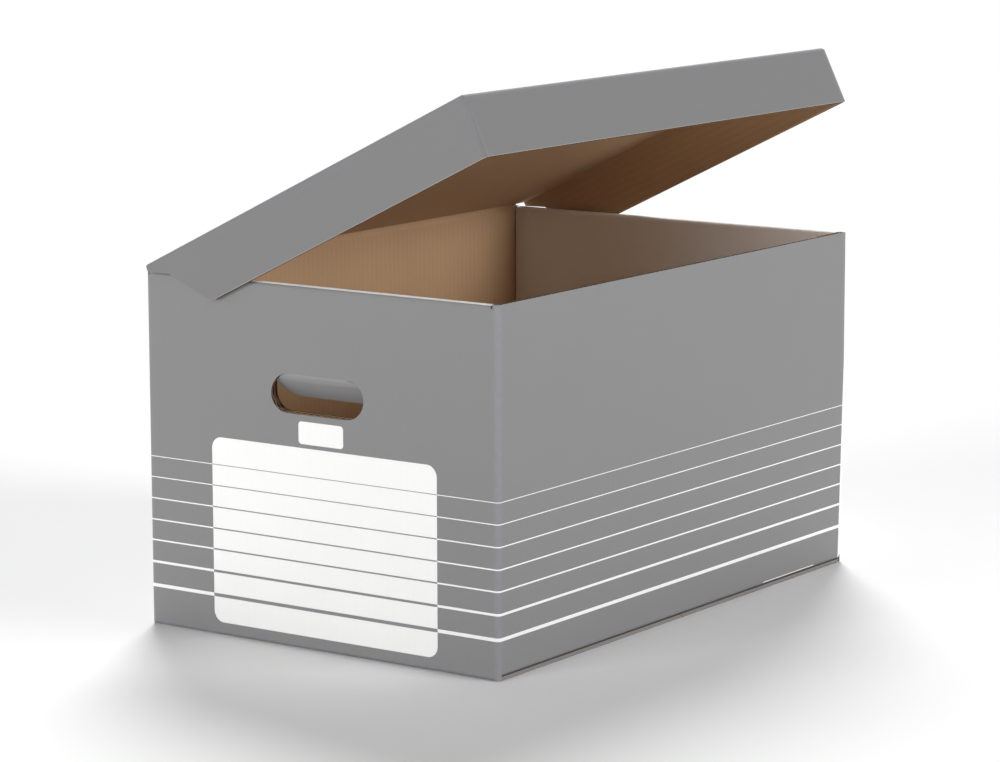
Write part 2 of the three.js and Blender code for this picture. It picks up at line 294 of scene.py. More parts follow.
# Floor flaps' cut edges under the walls' feet: rubbed grey, darkened as painted shade under the fold.
rubbed_and_shaded_edge = plain_board_material("rubbed_and_shaded_edge", srgb(136, 133, 130), 0.35, 0.2)
# Inside the grooves cut between the liners: painted shade in the hollows.
groove_painted_shade = plain_board_material("groove_painted_shade", kraft_painted_shade, 0.2, 0.2)
medium_paper = plain_board_material("medium_paper", medium_brown, 0.25, 0.15)


def mesh_object(name, mesh):
    made = bpy.data.objects.new(name, mesh)
    bpy.context.scene.collection.objects.link(made)
    return made


def bake_modifiers(piece):
    """The piece's modifiers worked into a plain mesh."""
    graph = bpy.context.evaluated_depsgraph_get()
    baked = bpy.data.meshes.new_from_object(piece.evaluated_get(graph), depsgraph=graph)
    piece.modifiers.clear()
    piece.data = baked
    baked.name = piece.name
    return piece


def merged_copy(node, name):
    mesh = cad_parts[node].data.copy()
    mesh.materials.clear()
    shape = bmesh.new()
    shape.from_mesh(mesh)
    bmesh.ops.remove_doubles(shape, verts=shape.verts, dist=1e-6)
    shape.to_mesh(mesh)
    shape.free()
    for name_of_layer in [layer.name for layer in mesh.uv_layers]:
        mesh.uv_layers.remove(mesh.uv_layers[name_of_layer])
    return mesh_object(name, mesh)


class CutEdge:
    """A cut edge of a panel: points along its middle line, the way into the board, across it, and the flute run.
    All in millimetres, in the panel's own place."""

    def __init__(self, points, inward, across, run, closed=False):
        self.points = np.array(points, float)
        self.inward = np.broadcast_to(np.array(inward, float), self.points.shape)
        self.across = np.broadcast_to(np.array(across, float), self.points.shape)
        self.run = np.array(run, float)
        self.closed = closed


def straight_edge(start, end, inward, across, run_axis=None, step=0.5):
    start, end = np.array(start, float), np.array(end, float)
    count = max(2, int(np.linalg.norm(end - start) / step) + 1)
    points = start + (end - start) * np.linspace(0, 1, count)[:, None]
    run = points[:, run_axis] if run_axis is not None else np.full(count, 1.1)
    return CutEdge(points, inward, across, run)


def curved_edge(outline, to_point, across, run_axis, into=1, closed=False, step=0.5):
    """An edge along a flat outline of (u, v) points. into is 1 where the board lies to the left of the outline."""
    outline = np.array(outline, float)
    if closed:
        outline = np.vstack([outline, outline[:1]])
    lengths = np.concatenate([[0], np.cumsum(np.linalg.norm(np.diff(outline, axis=0), axis=1))])
    count = int(lengths[-1] / step) + 1
    where = np.linspace(0, lengths[-1], count, endpoint=not closed)
    flat = np.stack([np.interp(where, lengths, outline[:, k]) for k in (0, 1)], axis=1)
    ahead = np.roll(flat, -1, 0) - np.roll(flat, 1, 0)
    if not closed:
        ahead[0], ahead[-1] = flat[1] - flat[0], flat[-1] - flat[-2]
    ahead /= np.linalg.norm(ahead, axis=1)[:, None]
    left = np.stack([-ahead[:, 1], ahead[:, 0]], axis=1) * into
    origin = np.array(to_point(0, 0), float)
    points = np.array([to_point(u, v) for u, v in flat], float)
    inward = np.array([np.array(to_point(u, v), float) - origin for u, v in left])
    return CutEdge(points, inward, across, points[:, run_axis], closed)


def groove_cutter(edge, place, low, high, depth, coarse=2):
    """A closed bar along a cut edge, from low to high across the board, that takes it away down to a depth."""
    keep = np.arange(0, len(edge.points), coarse)
    if not edge.closed and keep[-1] != len(edge.points) - 1:
        keep = np.append(keep, len(edge.points) - 1)
    points, inward, across = edge.points[keep], edge.inward[keep], edge.across[keep]
    corners = [points - inward * 0.8 + across * low, points - inward * 0.8 + across * high,
               points + inward * depth + across * high, points + inward * depth + across * low]
    rings = np.stack(corners, axis=1).reshape(-1, 3)
    vertices = [place @ (Vector(p) * mm) for p in rings]
    count = len(points)
    faces = []
    for index in range(count if edge.closed else count - 1):
        a, b = 4 * index, 4 * ((index + 1) % count)
        faces += [(a + k, a + (k + 1) % 4, b + (k + 1) % 4, b + k) for k in range(4)]
    if not edge.closed:
        faces += [(3, 2, 1, 0), tuple(4 * (count - 1) + k for k in range(4))]
    mesh = bpy.data.meshes.new("groove_cutter")
    mesh.from_pydata(vertices, [], faces)
    mesh.materials.append(groove_painted_shade)
    shape = bmesh.new()
    shape.from_mesh(mesh)
    bmesh.ops.recalc_face_normals(shape, faces=shape.faces)
    shape.to_mesh(mesh)
    shape.free()
    return mesh_object("groove_cutter", mesh)


def cut_grooves(piece, edges, place=Matrix(), low=liner_thickness - board / 2, high=board / 2 - liner_thickness,
                depth=groove_depth):
    """Hollows the board out between its two liners along its cut edges."""
    for edge in edges:
        cutter = groove_cutter(edge, place, low, high, depth)
        carve = piece.modifiers.new("groove", "BOOLEAN")
        carve.operation = "DIFFERENCE"
        carve.solver = "EXACT"
        carve.material_mode = "TRANSFER"
        carve.object = cutter
        bake_modifiers(piece)
        bpy.data.objects.remove(cutter)


def build_flute_tree():
    """Geometry Nodes tree that turns the lines of cut edges into the wavy edge of the fluted medium."""
    tree = bpy.data.node_groups.new("fluted_medium", "GeometryNodeTree")
    tree.interface.new_socket("Geometry", in_out="INPUT", socket_type="NodeSocketGeometry")
    for name, value in (("Pitch", flute_pitch * mm), ("Swing", 0.001), ("Depth", 0.003)):
        socket = tree.interface.new_socket(name, in_out="INPUT", socket_type="NodeSocketFloat")
        socket.default_value = value
    tree.interface.new_socket("Paper", in_out="INPUT", socket_type="NodeSocketMaterial")
    tree.interface.new_socket("Geometry", in_out="OUTPUT", socket_type="NodeSocketGeometry")
    given = put(tree, "NodeGroupInput").outputs
    run = put(tree, "GeometryNodeInputNamedAttribute", data_type="FLOAT")
    run.inputs["Name"].default_value = "run"
    across = put(tree, "GeometryNodeInputNamedAttribute", data_type="FLOAT_VECTOR")
    across.inputs["Name"].default_value = "across"
    inward = put(tree, "GeometryNodeInputNamedAttribute", data_type="FLOAT_VECTOR")
    inward.inputs["Name"].default_value = "inward"
    turn = sum_of(tree, "DIVIDE", sum_of(tree, "MULTIPLY", run.outputs[0], 2 * math.pi), given["Pitch"])
    swing = sum_of(tree, "MULTIPLY", sum_of(tree, "SINE", turn), given["Swing"])
    sideways = put(tree, "ShaderNodeVectorMath", operation="SCALE")
    tree.links.new(across.outputs[0], sideways.inputs[0])
    tree.links.new(swing, sideways.inputs["Scale"])
    waved = put(tree, "GeometryNodeSetPosition")
    tree.links.new(given["Geometry"], waved.inputs["Geometry"])
    tree.links.new(sideways.outputs[0], waved.inputs["Offset"])
    deep = put(tree, "GeometryNodeExtrudeMesh", mode="EDGES")
    tree.links.new(waved.outputs[0], deep.inputs["Mesh"])
    tree.links.new(inward.outputs[0], deep.inputs["Offset"])
    tree.links.new(given["Depth"], deep.inputs["Offset Scale"])
    solid = put(tree, "GeometryNodeRealizeInstances")
    tree.links.new(deep.outputs["Mesh"], solid.inputs[0])
    painted = put(tree, "GeometryNodeSetMaterial")
    tree.links.new(solid.outputs[0], painted.inputs["Geometry"])
    tree.links.new(given["Paper"], painted.inputs["Material"])
    out = put(tree, "NodeGroupOutput")
    tree.links.new(painted.outputs[0], out.inputs[0])
    return tree


flute_tree = build_flute_tree()


def fluted_medium(name, edges, place, body):
    """The medium's wavy edge in every groove of one body, as one piece."""
    vertices, lines, run, across, inward = [], [], [], [], []
    turn = place.to_3x3()
    for edge in edges:
        first = len(vertices)
        count = len(edge.points)
        vertices += [place @ (Vector(p + i * 0.3) * mm) for p, i in zip(edge.points, edge.inward)]
        lines += [(first + k, first + k + 1) for k in range(count - 1)]
        if edge.closed:
            lines.append((first + count - 1, first))
        run += list(edge.run * mm)
        across += [turn @ Vector(a) for a in edge.across]
        inward += [turn @ Vector(i) for i in edge.inward]
    mesh = bpy.data.meshes.new(name)
    mesh.from_pydata(vertices, lines, [])
    for label, kind, values in (("run", "FLOAT", run), ("across", "FLOAT_VECTOR", across),
                                ("inward", "FLOAT_VECTOR", inward)):
        layer = mesh.attributes.new(label, kind, "POINT")
        layer.data.foreach_set("value" if kind == "FLOAT" else "vector", np.array(values, np.float32).ravel())
    piece = mesh_object(name, mesh)
    wave = piece.modifiers.new("flutes", "NODES")
    wave.node_group = flute_tree
    values = {"Pitch": flute_pitch * mm, "Swing": 1.0 * mm, "Depth": 2.9 * mm, "Paper": medium_paper}
    for item in flute_tree.interface.items_tree:
        if item.in_out == "INPUT" and item.name in values:
            wave[item.identifier] = values[item.name]
    sheet = piece.modifiers.new("paper_thickness", "SOLIDIFY")
    sheet.thickness = 0.26 * mm
    sheet.offset = 0.0
    bake_modifiers(piece)
    for label in ("run", "across", "inward"):
        if label in piece.data.attributes:
            piece.data.attributes.remove(piece.data.attributes[label])
    layer = piece.data.uv_layers.new(name="along_flutes")
    for loop in piece.data.loops:
        spot = piece.data.vertices[loop.vertex_index].co
        layer.data[loop.index].uv = (spot.x + spot.y, spot.z)
    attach(piece, body)
    return piece


def finish_board(piece, place, rule, materials):
    """Gives each face its liner, kraft or cut-edge material and its run along the flutes, and rounds the folds."""
    mesh = piece.data
    names = list(materials)
    groove_slots = {i for i, m in enumerate(mesh.materials) if m and m.name.startswith("groove_painted_shade")}
    grooved = [polygon.material_index in groove_slots for polygon in mesh.polygons]
    mesh.materials.clear()
    for material in materials.values():
        mesh.materials.append(material)
    layer = mesh.uv_layers.new(name="along_flutes")
    back = place.inverted()
    back_turn = back.to_3x3()
    for polygon, in_groove in zip(mesh.polygons, grooved):
        centre = (back @ polygon.center) / mm
        normal = back_turn @ polygon.normal
        kind, u_axis, v_axis = rule(centre, normal)
        polygon.material_index = names.index("groove" if in_groove else kind)
        for loop_index in polygon.loop_indices:
            spot = back @ mesh.vertices[mesh.loops[loop_index].vertex_index].co
            layer.data[loop_index].uv = (spot[u_axis], spot[v_axis])
    mesh.polygons.foreach_set("use_smooth", [True] * len(mesh.polygons))
    mesh.set_sharp_from_angle(angle=math.radians(32))
    even = piece.modifiers.new("even_faces", "WEIGHTED_NORMAL")
    even.mode = "FACE_AREA"
    even.weight = 100
    even.keep_sharp = True
    bake_modifiers(piece)
    return piece


# Walls, rolled handle walls and floor
# One die-cut sheet folded into a tube of four walls. The handle walls roll over a flat crest into white inner
# panels that stand on the floor, and the floor is two crossing layers of flaps. One glue joint closes the tube.
box_depth, box_length, box_height = 345.0, 520.0, 290.0
half_x, half_y = box_depth / 2, box_length / 2
wrap_gap = 1.6
handle_wall = 2 * board + wrap_gap
crest_low, crest_high = -half_x + board + 0.8, half_x - 2 * board - 0.8
hole_half_width, hole_radius, hole_centre = 45.0, 15.0, 204.0
hole_straight = hole_half_width - hole_radius
inner_floor_top = 6.4
joint_end_y = half_y - 0.5

stripe_heights = (139.0, 122.0, 104.5, 87.0, 70.0, 52.0, 32.5)
stripe_widths = (0.6, 0.75, 0.95, 1.1, 1.25, 2.0, 2.8)
label_centre, label_size, label_corner = (4.0, 86.0), (221.5, 151.0), 9.5
field_centre, field_size, field_corner = (3.0, 173.7), (44.0, 18.0), 3.0


def rounded_field(tree, across, up, centre, size, corner):
    """1 inside a rectangle with round corners, 0 outside."""
    parts = []
    for value, middle, side in ((across, centre[0], size[0]), (up, centre[1], size[1])):
        off = sum_of(tree, "ABSOLUTE", sum_of(tree, "SUBTRACT", value, middle * mm))
        beyond = sum_of(tree, "MAXIMUM", sum_of(tree, "SUBTRACT", off, (side / 2 - corner) * mm), 0.0)
        parts.append(sum_of(tree, "MULTIPLY", beyond, beyond))
    return sum_of(tree, "LESS_THAN", sum_of(tree, "ADD", *parts), (corner * mm) ** 2)


def between(tree, value, low, high):
    middle, reach = (low + high) / 2 * mm, (high - low) / 2 * mm
    return sum_of(tree, "COMPARE", value, middle, reach)


def all_of(tree, *masks):
    result = masks[0]
    for mask in masks[1:]:
        result = sum_of(tree, "MULTIPLY", result, mask)
    return result


def any_of(tree, *masks):
    result = masks[0]
    for mask in masks[1:]:
        result = sum_of(tree, "MAXIMUM", result, mask)
    return result


def printed_walls_material():
    material, tree = start_material("printed_walls")
    place = put(tree, "ShaderNodeTexCoord").outputs["Object"]
    split = put(tree, "ShaderNodeSeparateXYZ")
    tree.links.new(place, split.inputs[0])
    x, y, z = split.outputs
    wide_x, wide_y = sum_of(tree, "ABSOLUTE", x), sum_of(tree, "ABSOLUTE", y)
    on_handle_wall = sum_of(tree, "GREATER_THAN", wide_y, (half_y - 1.5) * mm)
    seen_from_outside = sum_of(tree, "MULTIPLY", x, sum_of(tree, "MULTIPLY", sum_of(tree, "SIGN", y), -1.0))
    stripes = any_of(tree, *[between(tree, z, height - width / 2, height + width / 2)
                             for height, width in zip(stripe_heights, stripe_widths)])
    label = rounded_field(tree, seen_from_outside, z, label_centre, label_size, label_corner)
    label = all_of(tree, label, on_handle_wall)
    field = rounded_field(tree, seen_from_outside, z, field_centre, field_size, field_corner)
    field = all_of(tree, field, on_handle_wall)
    bare = sum_of(tree, "ABSOLUTE", sum_of(tree, "SUBTRACT", stripes, label))
    on_front_wall = sum_of(tree, "GREATER_THAN", x, (half_x - 1.0) * mm)
    margin = sum_of(tree, "MULTIPLY_ADD", z, -5.2 / 139.0, 6.7 * mm)
    past_ink = sum_of(tree, "GREATER_THAN", sum_of(tree, "ADD", y, margin), joint_end_y * mm)
    joint_margin = all_of(tree, on_front_wall, past_ink)
    foot_line = all_of(tree, on_front_wall, between(tree, y, 128, 212), between(tree, z, 5.0, 6.0))
    within_x = sum_of(tree, "LESS_THAN", wide_x, (half_x - 3.1) * mm)
    within_y = sum_of(tree, "LESS_THAN", wide_y, (half_y - 1.2) * mm)
    rolled_over = all_of(tree, within_x, within_y, sum_of(tree, "GREATER_THAN", z, (inner_floor_top + 0.1) * mm))
    under = all_of(tree, sum_of(tree, "LESS_THAN", wide_x, 0.160), sum_of(tree, "LESS_THAN", wide_y, 0.247),
                   sum_of(tree, "LESS_THAN", z, inner_floor_top * mm))
    bare = any_of(tree, bare, field, joint_margin, foot_line, rolled_over, under)
    ink = sum_of(tree, "SUBTRACT", 1.0, bare)
    near_x = ramped(tree, wide_x, (half_x - 6.0) * mm, (half_x - 2.2) * mm)
    near_y = ramped(tree, wide_y, (half_y - 6.0) * mm, (half_y - 2.2) * mm)
    near_foot = ramped(tree, z, 6.0 * mm, 1.5 * mm)
    # The folds and the foot get the lighter grey: rubbed ink, and partly a painted highlight.
    fold = any_of(tree, all_of(tree, near_x, near_y), sum_of(tree, "MULTIPLY", near_foot, 0.5))
    worn_and_highlit = rubbed(tree, all_of(tree, fold, ink), place, 1.0)
    grey = mixed(tree, worn_and_highlit, print_grey, worn_fold_grey_and_highlight)
    colour = mixed(tree, bare, grey, bare_liner)
    liner_material("printed_walls", colour, place, 0.05, 0.05, 0.004, 0.12, ink=ink, tree=tree)
    return material


def split_faces(piece, wide_x):
    """Splits the faces along two lines, so that the floor flaps' margins can have a grey of their own, darkened as
    painted shade.
    """
    shape = bmesh.new()
    shape.from_mesh(piece.data)
    for side in (-1, 1):
        everything = shape.verts[:] + shape.edges[:] + shape.faces[:]
        bmesh.ops.bisect_plane(shape, geom=everything, plane_co=(side * wide_x * mm, 0, 0), plane_no=(1, 0, 0))
    shape.to_mesh(piece.data)
    shape.free()


def wall_face(centre, normal):
    """Which side of the sheet a face of the walls or floor is, and its axes across and along the flutes."""
    x, y, z = centre
    wide_x, wide_y = abs(x), abs(y)
    if x < 4.0 - half_x and wide_y > half_y - 4.5 and z > box_height - 6.0:
        return "liner", 0, 2
    out_x, out_y = normal.x * math.copysign(1, x), normal.y * math.copysign(1, y)
    across, along = (0, 2) if abs(normal.y) > abs(normal.x) else (1, 2)
    if abs(normal.z) > 0.7:
        across, along = (0, 1) if z < 3.2 or z > 280 else (1, 0)
    corner = Vector((wide_x - (half_x - fold_outer), wide_y - (half_y - fold_outer)))
    if corner.x > 0 and corner.y > 0 and abs(normal.z) < 0.3 and wide_y < half_y - 0.01 and wide_x < half_x - 0.01:
        if corner.x * out_x + corner.y * out_y > 0.2 and corner.length > 2.5:
            return "liner", across, along
    for low, z_centre in ((True, fold_outer), (False, box_height - fold_outer)):
        arc = Vector((wide_y - (half_y - fold_outer), z - z_centre))
        in_arc = arc.x > 0 and (arc.y < 0) == low and abs(arc.y) <= fold_outer and wide_x < half_x - 0.9
        if in_arc and 0.15 < abs(normal.z) < 0.99 and arc.x * out_y + arc.y * normal.z > 2.0:
            return "liner", 0, 2
    arc = Vector((wide_x - (half_x - fold_outer), z - (3.4 + fold_outer)))
    if arc.x > 0 and arc.y < 0 and 0.15 < abs(normal.z) < 0.99 and arc.x * out_x + arc.y * normal.z > 2.0:
        return "liner", 1, 2
    arc = Vector((half_y - handle_wall + fold_outer - wide_y, z - (box_height - fold_outer)))
    if arc.x > 0 and arc.y > 0 and 0.15 < normal.z < 0.99 and crest_low - 1 < x < crest_high + 1:
        return "liner", 0, 2
    if normal.z > 0.9 and z > box_height - 0.1:
        return ("liner" if crest_low < x < crest_high and wide_y > half_y - handle_wall else "cut"), 0, 1
    if out_x > 0.9 and wide_x > half_x - 0.05:
        return "liner", 1, 2
    if out_y > 0.9 and wide_y > half_y - 0.05:
        return "liner", 0, 2
    if out_y < -0.9 and abs(wide_y - (half_y - handle_wall)) < 0.05 and crest_low < x < crest_high:
        return "liner", 0, 2
    if normal.z < -0.9 and z < 0.05:
        return "liner", 0, 1
    # The floor flaps' edges under the walls' foot folds get the rubbed grey with painted shade.
    if (out_x > 0.9 and z < 3.05 and wide_x > half_x - 1.0) or (abs(normal.z) > 0.9 and 2.9 < z < 3.5
                                                                and wide_x > half_x - 9.0):
        return "rubbed", 1, 2
    in_hole = wide_x < hole_half_width + 2 and hole_centre - 17 < z < hole_centre + 28 and abs(normal.y) < 0.5
    joint_end = normal.y > 0.9 and y > joint_end_y - 0.05 and x > half_x - board - 0.1
    panel_end = abs(normal.x) > 0.9 and (abs(x - crest_low) < 0.1 or abs(x - crest_high) < 0.1)
    if in_hole or joint_end or panel_end or (abs(normal.z) > 0.9 and z < 1.0):
        return "cut", across, along
    return "kraft", across, along


def hole_outline(segments=16):
    """The outer cut of a hand hole: all round but for the top, where the flap hangs on its crease."""
    arc = [math.pi / 2 - math.pi * k / segments for k in range(segments + 1)]
    right = [(hole_straight + hole_radius * math.cos(a), hole_centre + hole_radius * math.sin(a)) for a in arc]
    return right + [(-u, v) for u, v in reversed(right)]


def inner_hole_outline(segments=10):
    """The inner panel's cut, open 10 mm further up, drawn clockwise from the top left."""
    half, top = hole_half_width + 0.6, hole_centre + hole_radius + 10.0
    round_top = 5.0

    def arc(cu, cv, radius, start, end):
        angles = [math.radians(start + (end - start) * k / segments) for k in range(segments + 1)]
        return [(cu + radius * math.cos(a), cv + radius * math.sin(a)) for a in angles]

    right = arc(half - round_top, top - round_top, round_top, 90, 0)
    right += arc(half - hole_radius, hole_centre, hole_radius, 0, -90)
    return right + [(-u, v) for u, v in reversed(right)]


def wall_edges():
    front_mid = half_x - board / 2
    tab_mid = half_x - board - board / 2 + 0.05
    edges = [
        straight_edge((front_mid, -half_y + fold_outer + 0.5, box_height), (front_mid, joint_end_y + 0.5, box_height),
                      (0, 0, -1), (1, 0, 0), run_axis=1),
        straight_edge((tab_mid, half_y - board - 34.0, box_height), (tab_mid, half_y - board - 2.5, box_height),
                      (0, 0, -1), (1, 0, 0), run_axis=1),
        straight_edge((front_mid, joint_end_y, box_height - groove_depth - 0.4), (front_mid, joint_end_y, 12.0),
                      (0, -1, 0), (1, 0, 0), step=4.0),
    ]
    for side in (-1, 1):
        outer = side * (half_y - board / 2)
        inner = side * (half_y - handle_wall + board / 2)
        edges.append(curved_edge(hole_outline(), lambda u, v, w=outer: (u, w, v), (0, 1, 0), 0))
        edges.append(curved_edge(inner_hole_outline(), lambda u, v, w=inner: (u, w, v), (0, 1, 0), 0, closed=True))
    return edges


body_edges = wall_edges()
walls = merged_copy("box_body", "box_walls")
cut_grooves(walls, body_edges)
for side, stretch in ((-1, slice(13, -5)), (1, slice(5, -13))):
    frayed = curved_edge(hole_outline()[stretch], lambda u, v, w=side * (half_y - board / 2): (u, w, v),
                         (0, side, 0), 0)
    from_ends = np.minimum(np.arange(len(frayed.points)), np.arange(len(frayed.points))[::-1])
    frayed.inward = frayed.inward * np.clip(from_ends / 28, 0.08, 1.0)[:, None]
    cut_grooves(walls, [frayed], low=board / 2 - liner_thickness - 0.1, high=board / 2 + 0.5, depth=1.1)
split_faces(walls, half_x - 9.0)
finish_board(walls, Matrix(), wall_face, {
    "liner": printed_walls_material(), "kraft": kraft_liner, "cut": cut_edge_painted_shade, "groove": groove_painted_shade,
    "rubbed": rubbed_and_shaded_edge})
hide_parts("box_body")
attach(walls, "body")
fluted_medium("wall_flutes", body_edges, Matrix(), "body")


# Lid
# The same sheet goes on as a panel over the hinge wall, with a front skirt and two side skirts turned down.
# The side skirts' tabs turn in behind the front skirt, where they are glued. It stands 26 degrees open.
crease_board = 1.2
hinge_x = -half_x + crease_board / 2
hinge_z = box_height + 0.3 + board - crease_board / 2
lid_opening = math.radians(26)
lid_top = crease_board / 2
lid_foot = lid_top - 51.0
lid_front = box_depth - crease_board / 2 + 5.0 + board / 2
lid_side = half_y + 3.0 + board / 2
skirt_end = lid_side + board / 2 - 0.3
lid_place = (Matrix.Translation((hinge_x * mm, 0, hinge_z * mm))
             @ Matrix.Rotation(-lid_opening, 4, "Y"))


foot_wear = srgb(208, 188, 176)


def printed_lid_material():
    material, tree = start_material("printed_lid")
    seen = put(tree, "ShaderNodeTexCoord").outputs["Object"]
    back = lid_place.inverted()
    own = put(tree, "ShaderNodeMapping")
    tree.links.new(seen, own.inputs["Vector"])
    own.inputs["Rotation"].default_value = back.to_euler()
    own.inputs["Location"].default_value = back.translation
    place = own.outputs[0]
    split = put(tree, "ShaderNodeSeparateXYZ")
    tree.links.new(place, split.inputs[0])
    x, y, z = split.outputs
    wide_y = sum_of(tree, "ABSOLUTE", y)
    top = ramped(tree, z, (lid_top - 5.0) * mm, (lid_top - 2.0) * mm)
    side = ramped(tree, wide_y, (skirt_end - 5.5) * mm, (skirt_end - 2.2) * mm)
    front = ramped(tree, x, (lid_front - 4.0) * mm, (lid_front - 0.8) * mm)
    crease = ramped(tree, x, 3.2 * mm, 0.6 * mm, 0.0, 0.7)
    # The lid's folds and crease get the lighter grey: rubbed ink, and partly a painted highlight.
    fold = any_of(tree, all_of(tree, top, any_of(tree, side, front)), all_of(tree, side, front), crease)
    worn_and_highlit = rubbed(tree, fold, place, 0.3)
    colour = mixed(tree, worn_and_highlit, lid_grey_painted_shade, worn_fold_grey_and_highlight)
    past_ink = sum_of(tree, "LESS_THAN", z, (lid_foot + 0.4) * mm)
    colour = mixed(tree, sum_of(tree, "MULTIPLY", past_ink, 0.5), colour, foot_wear)
    liner_material("printed_lid", colour, place, 0.05, 0.05, 0.004, 0.12, ink=1.0, tree=tree)
    return material


def lid_face(centre, normal):
    x, y, z = centre
    out_y = normal.y * math.copysign(1, y)
    if abs(normal.z) > 0.7:
        axes = (1, 0)
    elif abs(normal.x) > abs(normal.y):
        axes = (1, 2)
    else:
        axes = (2, 0)
    if (normal.z > 0.9 and z > lid_top - 0.1) or (normal.x > 0.9 and x > lid_front + board / 2 - 0.1):
        return ("liner",) + axes
    if out_y > 0.9 and (abs(y) > lid_side + board / 2 - 0.1 or x > lid_front - board / 2 - 0.1):
        return ("liner",) + axes
    if abs(y) > skirt_end - 0.05 or (out_y > 0.9 and x < 6.0 and z > -4.0):
        return ("liner",) + axes
    front_arc = Vector((x - (lid_front + board / 2 - fold_outer), z - (lid_top - fold_outer)))
    side_arc = Vector((abs(y) - (lid_side + board / 2 - fold_outer), z - (lid_top - fold_outer)))
    slanted = 0.1 < normal.z < 0.99
    if slanted and front_arc.x > 0 and front_arc.y > 0 and abs(normal.y) < 0.1:
        return "liner", 1, 0
    if slanted and side_arc.x > 0 and side_arc.y > 0 and abs(normal.x) < 0.1:
        return "liner", 2, 0
    if x < 1.0 and abs(normal.y) < 0.1 and normal.z > 0.1:
        return "liner", 1, 0
    skirt = abs(y) > lid_side - board / 2 - 0.1
    at_foot = normal.z < -0.3 and z < lid_foot + 0.1
    at_slant = skirt and normal.x < -0.1 and x < 62
    tab_end = out_y < -0.6 and x > lid_front - 5.0 and abs(y) < lid_side - 30
    if at_foot or at_slant or tab_end:
        return ("cut",) + axes
    return ("kraft",) + axes


def bent(start, pull, end, segments=8):
    """Points on a curve from start to end, drawn towards pull."""
    steps = [k / segments for k in range(segments + 1)]
    return [tuple((1 - t) ** 2 * a + 2 * t * (1 - t) * b + t * t * c for a, b, c in zip(start, pull, end))
            for t in steps]


def lid_edges():
    foot = lid_foot
    slope = (foot + 15.0) / (55.0 - 24.0)
    skirt = bent((4.9, -6.4), (15.0, -10.6), (24.0, -15.0)) + bent((50.0, foot - slope * 5.0), (55.0, foot), (60.0, foot))
    skirt.append((lid_front - board / 2 - 0.3, foot))
    tab_x = lid_front - board - 0.05
    pressed_end = skirt_end - 1.2
    edges = [straight_edge((lid_front, -pressed_end, foot), (lid_front, pressed_end, foot), (0, 0, 1), (1, 0, 0),
                           run_axis=1)]
    for side in (-1, 1):
        edges.append(curved_edge(skirt, lambda u, v, w=side * lid_side: (u, w, v), (0, 1, 0), 2, into=1, step=0.7))
        end_y = side * (lid_side - board / 2 - 45.0)
        edges.append(straight_edge((tab_x, end_y, foot + 9.6), (tab_x, end_y, -13.2), (0, side, 0), (1, 0, 0), run_axis=2))
    return edges


lid_cut_edges = lid_edges()
lid_shell = merged_copy("box_lid", "lid_shell")
cut_grooves(lid_shell, lid_cut_edges, lid_place)
printed_lid = printed_lid_material()
finish_board(lid_shell, lid_place, lid_face, {
    "liner": printed_lid, "kraft": kraft_liner, "cut": cut_edge_painted_shade, "groove": groove_painted_shade})
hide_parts("box_lid")
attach(lid_shell, "lid")
fluted_medium("lid_flutes", lid_cut_edges, lid_place, "lid")


# Hand-hole flaps
# Each hand hole is cut round three sides only, so its piece of board stays on as a flap that hangs on a crease
# at the top. The label end's flap is pushed in and the far end's lies flat in its wall.
flap_hinge_y = half_y - board + crease_board / 2
flap_hinge_z = hole_centre + hole_radius - 0.7 - crease_board / 2
flap_mid = crease_board / 2 - board / 2
flap_centre = hole_centre - flap_hinge_z
flap_radius = hole_radius - 0.5
label_flap_place = (Matrix.Translation((0, -flap_hinge_y * mm, flap_hinge_z * mm))
                    @ Matrix.Rotation(math.radians(50), 4, "X"))
far_flap_place = (Matrix.Translation((0, flap_hinge_y * mm, flap_hinge_z * mm))
                  @ Matrix.Rotation(math.pi, 4, "Z"))


def printed_flap_painted_light_material():
    material, tree = start_material("printed_flap_painted_light")
    place = put(tree, "ShaderNodeTexCoord").outputs["Object"]
    # The walls' print made lighter for the flaps: painted light.
    liner_material("printed_flap_painted_light", srgb(146, 146, 147), place, 0.05, 0.05, 0.004, 0.12, ink=1.0, tree=tree)
    return material


def flap_face(centre, normal):
    if normal.y < -0.7 and centre.y < flap_mid - board / 2 + 0.1:
        return "liner", 0, 2
    if centre.z > -3.1 or normal.y > 0.7:
        return ("liner" if normal.y < -0.3 else "kraft"), 0, 2
    return "cut", 0, 2


def flap_edge():
    start = math.asin((-3.5 - flap_centre - 0.6) / flap_radius)
    angles = [start - (start + math.pi / 2) * k / 16 for k in range(17)]
    right = [(hole_straight + flap_radius * math.cos(a), flap_centre + flap_radius * math.sin(a)) for a in angles]
    outline = right + [(-u, v) for u, v in reversed(right)]
    return curved_edge(outline, lambda u, v: (u, flap_mid, v), (0, 1, 0), 0, into=-1)


printed_flap_painted_light = printed_flap_painted_light_material()
for node, piece_name, place, body_name in (
        ("hand_flap_label_end", "label_end_flap_board", label_flap_place, "label_end_flap"),
        ("hand_flap_far_end", "far_end_flap_board", far_flap_place, "far_end_flap")):
    flap = merged_copy(node, piece_name)
    cut_grooves(flap, [flap_edge()], place)
    finish_board(flap, place, flap_face, {
        "liner": printed_flap_painted_light, "kraft": kraft_liner, "cut": cut_edge_painted_shade, "groove": groove_painted_shade})
    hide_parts(node)
    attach(flap, body_name)
    fluted_medium(piece_name.replace("board", "flutes"), [flap_edge()], place, body_name)


